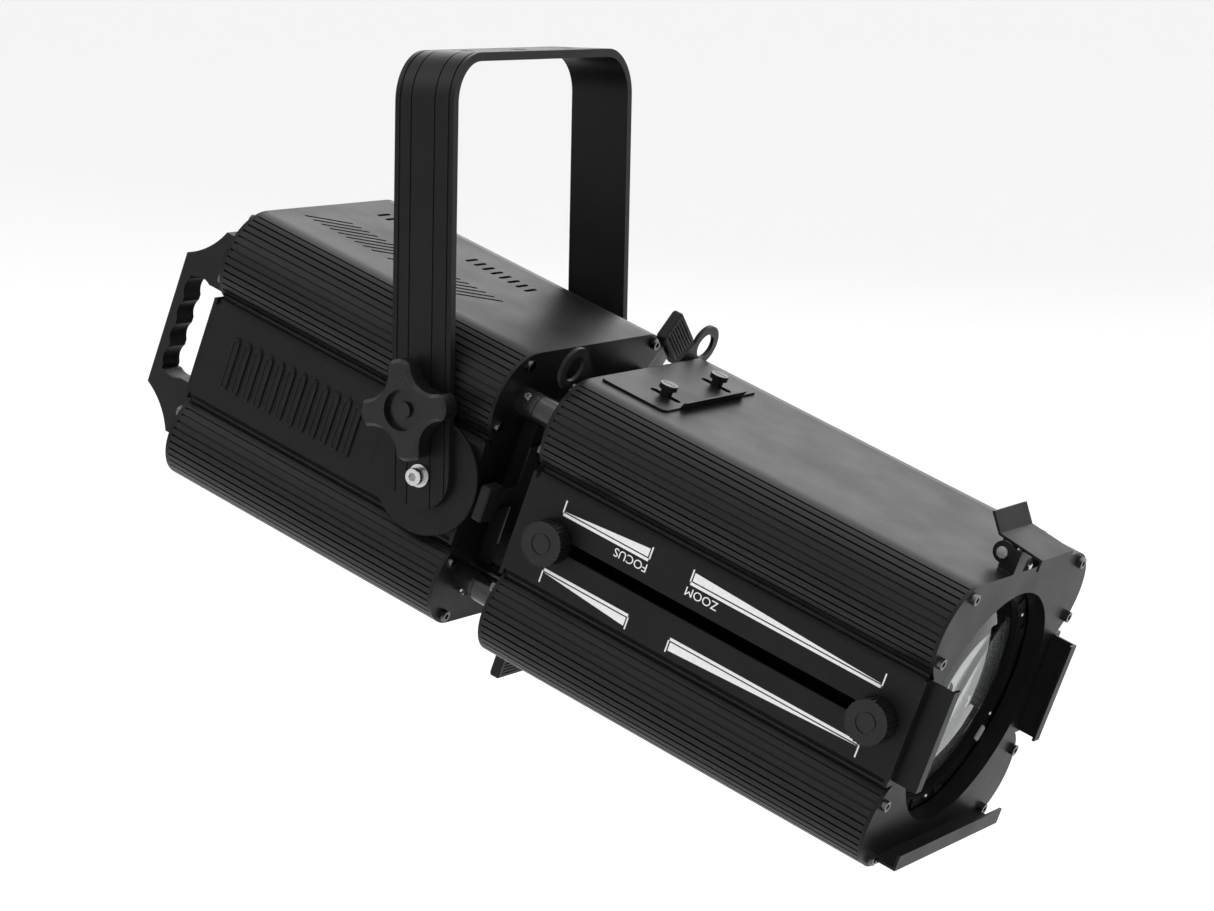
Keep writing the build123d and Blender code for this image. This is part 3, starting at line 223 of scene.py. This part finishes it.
def finish(name, tone, other_tone, rough, rough_drift, skin_scale, skin_depth, metal=0.0,
           gloss=0.5, coat=0.0, cloud=(30, 30, 30)):
    """Two tones and two roughnesses mixed by a cloud, under a fine bumpy skin."""
    material = bpy.data.materials.new(name)
    material.use_nodes = True
    nodes, links = material.node_tree.nodes, material.node_tree.links
    shader = nodes["Principled BSDF"]
    shader.inputs["Metallic"].default_value = metal
    shader.inputs["Specular IOR Level"].default_value = gloss
    shader.inputs["Coat Weight"].default_value = coat
    shader.inputs["Coat Roughness"].default_value = COAT_ROUGH
    where = nodes.new("ShaderNodeTexCoord")
    turned = nodes.new("ShaderNodeMapping")
    turned.inputs["Rotation"].default_value = (0, -nose_down, 0)
    stretched = nodes.new("ShaderNodeMapping")
    stretched.inputs["Scale"].default_value = cloud
    links.new(where.outputs["Object"], turned.inputs["Vector"])
    links.new(turned.outputs["Vector"], stretched.inputs["Vector"])
    clouds = nodes.new("ShaderNodeTexNoise")
    clouds.inputs["Scale"].default_value = 1.0
    clouds.inputs["Detail"].default_value = CLOUD_DETAIL
    links.new(stretched.outputs["Vector"], clouds.inputs["Vector"])
    ramp = nodes.new("ShaderNodeValToRGB")
    ramp.color_ramp.elements[0].position = CLOUD_LOW
    ramp.color_ramp.elements[0].color = (*tone, 1)
    ramp.color_ramp.elements[1].position = CLOUD_HIGH
    ramp.color_ramp.elements[1].color = (*other_tone, 1)
    links.new(clouds.outputs["Fac"], ramp.inputs["Fac"])
    links.new(ramp.outputs["Color"], shader.inputs["Base Color"])
    drift = nodes.new("ShaderNodeMapRange")
    drift.inputs["From Min"].default_value = CLOUD_LOW
    drift.inputs["From Max"].default_value = CLOUD_HIGH
    drift.inputs["To Min"].default_value = rough - rough_drift
    drift.inputs["To Max"].default_value = rough + rough_drift
    links.new(clouds.outputs["Fac"], drift.inputs["Value"])
    links.new(drift.outputs["Result"], shader.inputs["Roughness"])
    grain = nodes.new("ShaderNodeTexNoise")
    grain.inputs["Scale"].default_value = skin_scale
    grain.inputs["Detail"].default_value = GRAIN_DETAIL
    links.new(where.outputs["Object"], grain.inputs["Vector"])
    bump = nodes.new("ShaderNodeBump")
    bump.inputs["Strength"].default_value = skin_depth
    bump.inputs["Distance"].default_value = SKIN_HEIGHT
    links.new(grain.outputs["Fac"], bump.inputs["Height"])
    links.new(bump.outputs["Normal"], shader.inputs["Normal"])
    return material


DRAWN = (3, 900, 900)         # long streaks along the beam
BRUSHED = (60, 60, 1500)      # thin layers: fine square to the top, broad the other two ways
finishes = {
    "powder_black": finish("powder_black", (0.0045, 0.0047, 0.0048), (0.0065, 0.0067, 0.007),
                           0.40, 0.04, 1600, 0.25, gloss=0.17),
    "anodised_black": finish("anodised_black", (0.0058, 0.0060, 0.0063), (0.0095, 0.0098, 0.0100),
                             0.38, 0.06, 2200, 0.12, gloss=0.22, cloud=DRAWN),
    "black_plastic": finish("black_plastic", (0.0045, 0.0045, 0.0048), (0.0065, 0.0065, 0.0068),
                            0.29, 0.04, 900, 0.08, gloss=0.26, coat=0.12),
    "handle_plastic": finish("handle_plastic", (0.0055, 0.0055, 0.0058), (0.0085, 0.0085, 0.009),
                             0.50, 0.05, 1300, 0.35, gloss=0.22),
    "steel": finish("steel", (0.50, 0.50, 0.50), (0.66, 0.66, 0.67), 0.26, 0.06, 1500, 0.10,
                    metal=1.0, cloud=BRUSHED),
    "black_screws": finish("black_screws", (0.075, 0.075, 0.078), (0.14, 0.14, 0.145), 0.27, 0.06,
                           1400, 0.10, metal=1.0),
    "turned_black": finish("turned_black", (0.006, 0.006, 0.0063), (0.010, 0.010, 0.0105), 0.24,
                           0.04, 1800, 0.06, gloss=0.5, coat=0.2),
    "blade_steel": finish("blade_steel", (0.10, 0.10, 0.10), (0.16, 0.16, 0.16), 0.34, 0.08,
                          1200, 0.10, metal=1.0, cloud=(25, 25, 25)),
    "bare_aluminium": finish("bare_aluminium", (0.55, 0.56, 0.57), (0.68, 0.69, 0.70), 0.36,
                             0.06, 1500, 0.10, metal=1.0, cloud=DRAWN),
    "led_face": finish("led_face", (0.80, 0.66, 0.22), (0.86, 0.74, 0.30), 0.45, 0.05, 900, 0.1),
    "reflector": finish("reflector", (0.76, 0.77, 0.78), (0.84, 0.85, 0.86), 0.12, 0.03, 600,
                        0.04, metal=1.0),
    "display_panel": finish("display_panel", (0.009, 0.009, 0.010), (0.013, 0.013, 0.014),
                            0.28, 0.04, 1200, 0.08, gloss=0.45),
    "socket_plastic": finish("socket_plastic", (0.012, 0.012, 0.013), (0.017, 0.017, 0.018),
                             0.42, 0.05, 1000, 0.15, gloss=0.4),
}
print(len(finishes), "finishes")

# %% [markdown]
# ## Glass
# A lens looks nearly black from outside: little light comes back out of the lamp, and what shows is the room
# mirrored in its bulging face. The glass bends light as optical glass does and has a very faint uneven
# polish. Its grey tone is painted shade: the glass takes some of the light on each pass so that the inside
# of the lamp shows dark, standing in for the shade there.

# %% Lens glass
CROWN_GLASS_IOR = 1.52
# grey glass tones: painted shade, dimming the lamp's inside as seen through the lens
glass = finish("lens_glass", (0.40, 0.42, 0.43), (0.45, 0.47, 0.48), 0.035, 0.015, 300, 0.01,
               cloud=(12, 12, 12))
glass_shader = glass.node_tree.nodes["Principled BSDF"]
glass_shader.inputs["Transmission Weight"].default_value = 1.0
glass_shader.inputs["IOR"].default_value = CROWN_GLASS_IOR
finishes["lens_glass"] = glass

# %% [markdown]
# Every part of the model says in the record which finish it has, so one loop dresses them all.
# The four posts between the two housings are turned before they are anodised, so they are
# smoother and shinier than the rails, and get a finish of their own.

# %% Dress the parts
for subpart in frame["record"]["subparts"]:
    part = frame["nodes"][subpart["node"]]
    part.data.materials.clear()
    part.data.materials.append(finishes[subpart["material_slot"]])
posts = frame["nodes"]["spacer_posts"].data
posts.materials.clear()
posts.materials.append(finishes["turned_black"])

# %% [markdown]
# ## Printed scales
# Beside the slot are four scales in white ink, two for the focus knob and two for the zoom knob,
# each the mirror image of its partner across the slot. A scale is a base line with a tick at
# each end and a wedge that swells from one end to the other. Ink is thin but not flat: each
# stroke is a slab about a tenth of a millimetre proud of the paint.

# %% Ink strokes
INK = finish("scale_ink", (0.70, 0.70, 0.69), (0.80, 0.80, 0.79), 0.55, 0.05, 2500, 0.2,
             cloud=(400, 400, 400))
INK_PROUD, INK_SUNK = 0.09, 0.05
panel_face = extent("front_side_left")[0][1]
focus_middle = sum(corner[0] for corner in extent("focus_knob")) / 2
zoom_middle = sum(corner[0] for corner in extent("zoom_knob")) / 2
BASE_OUT, BASE_WIDE = 21.0, 2.2        # base line's inner edge from the slot's middle, its width
TICK_TALL, TICK_WIDE = 11.5, 1.1
WEDGE_GAP, WEDGE_WIDE, WEDGE_THIN = 1.0, 6.3, 0.15
STROKE_STEPS = 12
FOCUS_SPAN = (focus_middle, focus_middle + 77)        # from the knob towards the lens
ZOOM_SPAN = (zoom_middle - 166, zoom_middle - 4)      # from the knob's far end back to the knob


def stroke(x, low, high):
    """Slab of ink along x whose edges run from low to high, square to the slot."""
    face, back = panel_face - INK_PROUD, panel_face + INK_SUNK
    corners = [place(x, depth, edge) for depth, edge in
               ((back, low), (face, low), (face, high), (back, high))]
    return np.stack(corners, 1)


def scale_strokes(start, end, thick_end, side):
    """Base line, two ticks and a wedge between start and end, on one side of the slot."""
    along = np.linspace(start, end, STROKE_STEPS)
    level = np.full(STROKE_STEPS, 1.0)
    strokes = [stroke(along, side * BASE_OUT * level, side * (BASE_OUT + BASE_WIDE) * level)]
    for at in (start, end - TICK_WIDE):
        edge = np.array([at, at + TICK_WIDE])
        strokes.append(stroke(edge, side * BASE_OUT * np.ones(2),
                              side * (BASE_OUT + TICK_TALL) * np.ones(2)))
    inner = np.linspace(start + 2 * TICK_WIDE, end - 2 * TICK_WIDE, STROKE_STEPS)
    swell = (inner - inner[0]) / (inner[-1] - inner[0])
    if thick_end == "start":
        swell = 1 - swell
    foot = BASE_OUT + BASE_WIDE + WEDGE_GAP
    strokes.append(stroke(inner, side * foot * level,
                          side * (foot + WEDGE_THIN + WEDGE_WIDE * swell)))
    return strokes


for word, span, thick_end in (("focus", FOCUS_SPAN, "end"), ("zoom", ZOOM_SPAN, "start")):
    for side_word, side in (("upper", 1), ("lower", -1)):
        skin(f"{word}_scale_{side_word}", scale_strokes(*span, thick_end, side), INK, "head")

# %% [markdown]
# ## The two words
# Each upper scale is named by its function, upside down for someone who reads it from above.
# Letters come from a text object. It is made a mesh first, and then moved to the panel by
# writing its points in the head's directions, so that the piece itself stays at the origin.

# %% Words
WORD_TALL = 6.6
CAPITAL_SHARE = 0.72          # height of a capital letter as a share of the text's size
WORD_GAP = 2.2                # from the words' foot to the base line
LETTER_STEPS = 4
# where each word's first letter stands along the beam
FOCUS_WORD_AT = FOCUS_SPAN[1] + 0.5
ZOOM_WORD_AT = ZOOM_SPAN[0] + 27


def printed_word(text, right_end):
    """The word in ink, upside down, its first letter at right_end along the beam."""
    curve = bpy.data.curves.new(text, "FONT")
    curve.body = text
    curve.size = WORD_TALL / CAPITAL_SHARE
    curve.extrude = (INK_PROUD + INK_SUNK) / 2
    curve.resolution_u = LETTER_STEPS
    letters = bpy.data.objects.new(text, curve)
    bpy.context.scene.collection.objects.link(letters)
    bpy.context.view_layer.update()
    mesh = bpy.data.meshes.new_from_object(letters.evaluated_get(
        bpy.context.evaluated_depsgraph_get()))
    bpy.data.objects.remove(letters)
    spots = np.empty(len(mesh.vertices) * 3)
    mesh.vertices.foreach_get("co", spots)
    spots = spots.reshape(-1, 3)
    depth = panel_face - (INK_PROUD - INK_SUNK) / 2 - spots[:, 2]
    placed = place(right_end - spots[:, 0], depth, BASE_OUT - WORD_GAP - spots[:, 1])
    mesh.vertices.foreach_set("co", placed.ravel())
    mesh.update()
    mesh.materials.clear()
    mesh.materials.append(INK)
    piece = bpy.data.objects.new(f"{text.lower()}_word", mesh)
    bpy.context.scene.collection.objects.link(piece)
    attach(piece, "head")
    print(piece.name, len(mesh.polygons), "faces")


printed_word("FOCUS", FOCUS_WORD_AT)
printed_word("ZOOM", ZOOM_WORD_AT)

# %% [markdown]
# ## Louvre rims
# The louvres are pressed from inside, so each stands proud with a soft rolled rim. A rim is a
# round bead, half of it sunk in the panel, carried round a long slot shape: two straight sides
# and two half circles. The bead's section is swept along that path as one array.

# %% Rims
LOUVRES, LOUVRE_PITCH, LOUVRE_FIRST = 12, 10.76, -191.0
LOUVRE_HALF, LOUVRE_R = 19.6, 2.5
BEAD_R, BEAD_PROUD = 0.9, 0.8     # bead's radius, and its height as a share of that
PATH_STEPS, BEAD_STEPS = 24, 8
rear_low, rear_high = extent("rear_side_left")


def slot_path(count):
    """Round a long slot: two half circles joined by straight sides; points and outward ways."""
    angle = np.linspace(0, 2 * np.pi, count, endpoint=False)
    end = np.where(np.sin(angle) >= 0, 1.0, -1.0)
    points = np.stack([LOUVRE_R * np.cos(angle), LOUVRE_R * np.sin(angle) + end *
                       (LOUVRE_HALF - LOUVRE_R)], 1)
    return points, np.stack([np.cos(angle), np.sin(angle)], 1)


def bead(centre_x, face, hand):
    """Bead half sunk in the panel, on the slot path, as a closed tube of short sections."""
    path, out = slot_path(PATH_STEPS)
    turn = np.linspace(0, 2 * np.pi, BEAD_STEPS, endpoint=False)
    sideways = BEAD_R * np.cos(turn)
    proud = BEAD_R * BEAD_PROUD * np.sin(turn)
    x = centre_x + path[:, :1] + out[:, :1] * sideways
    z = path[:, 1:] + out[:, 1:] * sideways
    y = face + hand * np.broadcast_to(proud, x.shape)
    ring = place(x, y, z)
    return np.concatenate([ring, ring[:1]])


for word, hand, face in (("left", -1, rear_low[1]), ("right", 1, rear_high[1])):
    rims = [bead(LOUVRE_FIRST + i * LOUVRE_PITCH, face, hand) for i in range(LOUVRES)]
    skin(f"louvre_rims_{word}", rims, finishes["powder_black"], "head",
         smooth=True)


# %% [markdown]
# ## Small turned pieces
# Screw heads, keys and pins are all turned: a profile of radius against height, spun about an
# axis. Twenty-four steps round are plenty at this size.

# %% Turning
SINK = 1.0                    # how far a screw head's side reaches below its seat
TIP_R = 0.02                  # a dome's top is closed by a face this small


def turned(centre, axis, profile, steps=24):
    """Grid of a profile of (height, radius) pairs in mm spun about an axis at a centre."""
    axis = np.asarray(axis, float)
    helper = up if abs(axis @ up) < 0.9 else across
    first = np.cross(axis, helper)
    first /= np.linalg.norm(first)
    second = np.cross(axis, first)
    angle = np.linspace(0, 2 * np.pi, steps, endpoint=False)
    height, radius = np.array(profile, float).T
    ring = np.cos(angle)[:, None] * first + np.sin(angle)[:, None] * second
    return centre + MM * (height[:, None, None] * axis + radius[:, None, None] * ring)


def dome(radius, tall, steps=6):
    """Profile of a low dome: heights follow a quarter of a sine from rim to top."""
    part = np.linspace(0, np.pi / 2, steps)
    rim = [(-SINK, radius)]
    return rim + [(tall * math.sin(a), max(radius * math.cos(a), TIP_R)) for a in part]


# %% [markdown]
# ## Round the lens
# Clips hold the zoom lens in its carriage: three light pads, and a pair of dark ones beside
# every second screw. They sit on the dark ring round the glass, with six small bright screws,
# and travel with it. A pad is a block with softly rounded edges: a squared-off circle, carried
# outward along a radius of the ring and drawn in a little at both ends.

# %% Pads and screws
ring_face = extent("zoom_lens_ring")[1][0]
lens_low, lens_high = extent("zoom_lens")
lens_r = (lens_high[1] - lens_low[1]) / 2
PAD_LONG, PAD_THICK, PAD_REACH = 12.0, 2.2, 6.6
CLIP_TURN = 120.0                 # each kind of clip comes three times
LIGHT_PAD, DARK_PADS = -31.0, (27.0, 50.0)
FIRST_SCREW, SCREW_TURN = -20.0, 60.0
LENS_SCREWS, LENS_SCREW_OUT = 6, 3.5      # how many, and how far outside the glass
LENS_SCREW_R, LENS_SCREW_TALL = 1.9, 1.0
PAD_OVER_GLASS, PAD_LIFT = 0.5, 0.6       # overlap on the glass, and middle above the ring
PAD_PLACES, PAD_DRAWN_IN = np.array([0, 0.1, 0.9, 1]), np.array([0.9, 1.0, 1.0, 0.9])
PAD_STEPS = 20
SQUARED = 0.35                    # power that makes a circle nearly square
pad_paint = finish("lens_pad", (0.26, 0.26, 0.26), (0.34, 0.34, 0.335), 0.5, 0.05, 1500, 0.2)


def squared_circle(turn):
    """Both ways of a squared-off circle: cosine and sine raised to a small power, sign kept."""
    return [np.sign(f(turn)) * np.abs(f(turn)) ** SQUARED for f in (np.cos, np.sin)]


def pad(angle):
    """Rounded block on the ring: a squared circle carried outward along a radius."""
    wide, deep = squared_circle(np.linspace(0, 2 * np.pi, PAD_STEPS, endpoint=False))
    reach = lens_r - PAD_OVER_GLASS + PAD_REACH * PAD_PLACES
    a = math.radians(angle)
    sideways = PAD_LONG / 2 * wide * PAD_DRAWN_IN[:, None]
    y = reach[:, None] * math.cos(a) - math.sin(a) * sideways
    z = reach[:, None] * math.sin(a) + math.cos(a) * sideways
    x = ring_face + PAD_LIFT + PAD_THICK / 2 * deep * PAD_DRAWN_IN[:, None]
    return place(x, y, z)


def three_times(angle):
    """An angle and the two that stand a third of a turn apart from it."""
    return [angle + CLIP_TURN * i for i in range(3)]


skin("lens_pads", [pad(angle) for angle in three_times(LIGHT_PAD)], pad_paint, "zoom")
skin("lens_clips", [pad(angle) for first in DARK_PADS for angle in three_times(first)],
     finishes["black_plastic"], "zoom")
lens_screws = []
screw_circle = lens_r + LENS_SCREW_OUT
for i in range(LENS_SCREWS):
    a = math.radians(FIRST_SCREW + SCREW_TURN * i)
    spot = place(ring_face, screw_circle * math.cos(a), screw_circle * math.sin(a))
    lens_screws.append(turned(spot, beam, dome(LENS_SCREW_R, LENS_SCREW_TALL)))
skin("lens_screws", lens_screws, finishes["steel"], "zoom", smooth=True)

# %% [markdown]
# ## Crosses in the post screws
# The lock screw of each post has a cross recess. At this size the recess reads as a dark cross, so its shade
# is painted: two thin dark bars, less than a tenth of a millimetre proud of the head. A screw looks straight
# out from its post, a little more sideways than up.

# %% Crosses
POST_RADIUS = 11.0
SCREW_OUT = np.array([0.75, 0.66])        # share of the post's radius, sideways and up
HEAD_TOP = 1.6                            # top of a head above the post's side
CROSS_LONG, CROSS_WIDE, CROSS_TALL, CROSS_SUNK = 3.4, 0.7, 0.06, 0.3
# near-black bars: painted shade standing in for the dark inside each cross recess
recess_shade_paint = finish("painted_recess_shade", (0.006, 0.006, 0.006), (0.010, 0.010, 0.010), 0.5, 0.05,
                     2000, 0.1)
post_high = extent("spacer_posts")[1]
screws_along = sum(corner[0] for corner in extent("post_screws")) / 2


def bar(middle, along, sideways, out):
    """Flat bar: a rectangle along and sideways, from just inside the head to just above it."""
    rim = [(-1, -1), (1, -1), (1, 1), (-1, 1)]
    flat = np.array([CROSS_LONG / 2 * a * along + CROSS_WIDE / 2 * b * sideways for a, b in rim])
    return middle + MM * (flat + np.array([-CROSS_SUNK, CROSS_TALL])[:, None, None] * out)


crosses = []
for sy in (-1, 1):
    for sz in (-1, 1):
        share = SCREW_OUT * POST_RADIUS
        out = sy * SCREW_OUT[0] * across + sz * SCREW_OUT[1] * up
        out /= np.linalg.norm(out)
        seat = place(screws_along,
                     sy * (post_high[1] - POST_RADIUS + share[0]),
                     sz * (post_high[2] - POST_RADIUS + share[1]))
        head = seat + MM * HEAD_TOP * out
        ways = (beam + np.cross(out, beam)) / math.sqrt(2)
        other = np.cross(out, ways)
        crosses += [bar(head, ways, other, out), bar(head, other, ways, out)]
skin("screw_cross_shade", crosses, recess_shade_paint, "head")

# %% [markdown]
# ## The front plate's screw
# The real lamp has one small countersunk screw under the latch, on the front plate. Its height
# here is counted down from the highest point of the top panel, which is the tip of the cover's
# studs and not the sheet. So the screw stands about seven millimetres too high: its lower rim
# only just reaches the plate's upper edge, and it doesn't sit in the plate.

# %% Plate screw
PLATE_THICK = 3.0
PLATE_SCREW_ACROSS, PLATE_SCREW_DOWN = -4.0, 5.0      # from the middle, and from the studs' tips
PLATE_SCREW_R, PLATE_SCREW_TALL = 2.4, 0.8
front_face = extent("front_side_left")[1][0] + PLATE_THICK
studs_top = extent("front_top_panel")[1][2]
screw_spot = place(front_face, PLATE_SCREW_ACROSS, studs_top - PLATE_SCREW_DOWN)
plate_screw = turned(screw_spot, beam, dome(PLATE_SCREW_R, PLATE_SCREW_TALL))
skin("latch_plate_screw", [plate_screw], finishes["steel"], "head", smooth=True)

# %% [markdown]
# ## Rear panel
# The control panel has a smoked window with four keys under it, and the sockets below carry
# their contacts. These are small, but they are what someone plugging the lamp in looks at.

# %% Display, keys and contacts
WINDOW_DEEP, WINDOW_PROUD = 1.15, (0.0, 0.5, 0.7)      # into the panel's rim, then back out
WINDOW_SIDES, WINDOW_TOPS = (1, 1, 0.97), (1, 1, 0.96)  # each step's share of width and height
WINDOW_STEPS, WINDOW_CORNER = 32, 0.25
KEYS, FIRST_KEY, KEY_PITCH, KEY_HEIGHT = 4, -42, 16, 10.5
KEY_PROFILE = [(-0.5, 3.4), (0.9, 3.4), (1.3, 3.0), (1.35, 0.05)]
SOCKET_COLUMNS, CONTACT_ANGLES, CONTACT_CIRCLE = (-42.0, 0.0, 42.0), (90, 210, 330), 4.4
CONTACT_PROFILE = [(-1.0, 1.1), (1.0, 1.1), (1.6, 0.7), (1.8, 0.05)]
CONTACT_DEEP, CONTACT_STEPS = 0.3, 12
board_back = extent("control_panel")[0][0]
socket_low, socket_high = extent("rear_sockets")
backwards = -beam
window_glass = finish("window_glass", (0.010, 0.014, 0.018), (0.014, 0.018, 0.024), 0.08, 0.02,
                      200, 0.02, gloss=0.6, coat=0.6)
key_rubber = finish("key_rubber", (0.05, 0.05, 0.052), (0.07, 0.07, 0.073), 0.6, 0.05, 1200, 0.3)
window_y, window_z = np.array([-45.0, 9.0]), np.array([19.0, 55.0])
around = np.linspace(0, 2 * np.pi, WINDOW_STEPS, endpoint=False)


def rounded(wave):
    """A wave raised to a small power with its sign kept, which squares off a circle."""
    return np.sign(wave) * np.abs(wave) ** WINDOW_CORNER


window_grid = place(
    (board_back + WINDOW_DEEP - np.array(WINDOW_PROUD))[:, None],
    window_y.mean() + np.array(WINDOW_SIDES)[:, None] * np.ptp(window_y) / 2
    * rounded(np.cos(around)),
    window_z.mean() + np.array(WINDOW_TOPS)[:, None] * np.ptp(window_z) / 2
    * rounded(np.sin(around)))
skin("display_window", [window_grid], window_glass, "head")
keys = [turned(place(board_back, FIRST_KEY + KEY_PITCH * i, KEY_HEIGHT), backwards, KEY_PROFILE)
        for i in range(KEYS)]
skin("menu_keys", keys, key_rubber, "head")
socket_middle = (socket_low[1] + socket_high[1]) / 2
socket_height = (socket_low[2] + socket_high[2]) / 2
contacts = []
for column in SOCKET_COLUMNS:
    for angle in CONTACT_ANGLES:
        a = math.radians(angle)
        spot = place(socket_low[0] + CONTACT_DEEP,
                     socket_middle + column + CONTACT_CIRCLE * math.cos(a),
                     socket_height + CONTACT_CIRCLE * math.sin(a))
        contacts.append(turned(spot, backwards, CONTACT_PROFILE, CONTACT_STEPS))
skin("socket_contacts", contacts, finishes["steel"], "head", smooth=True)
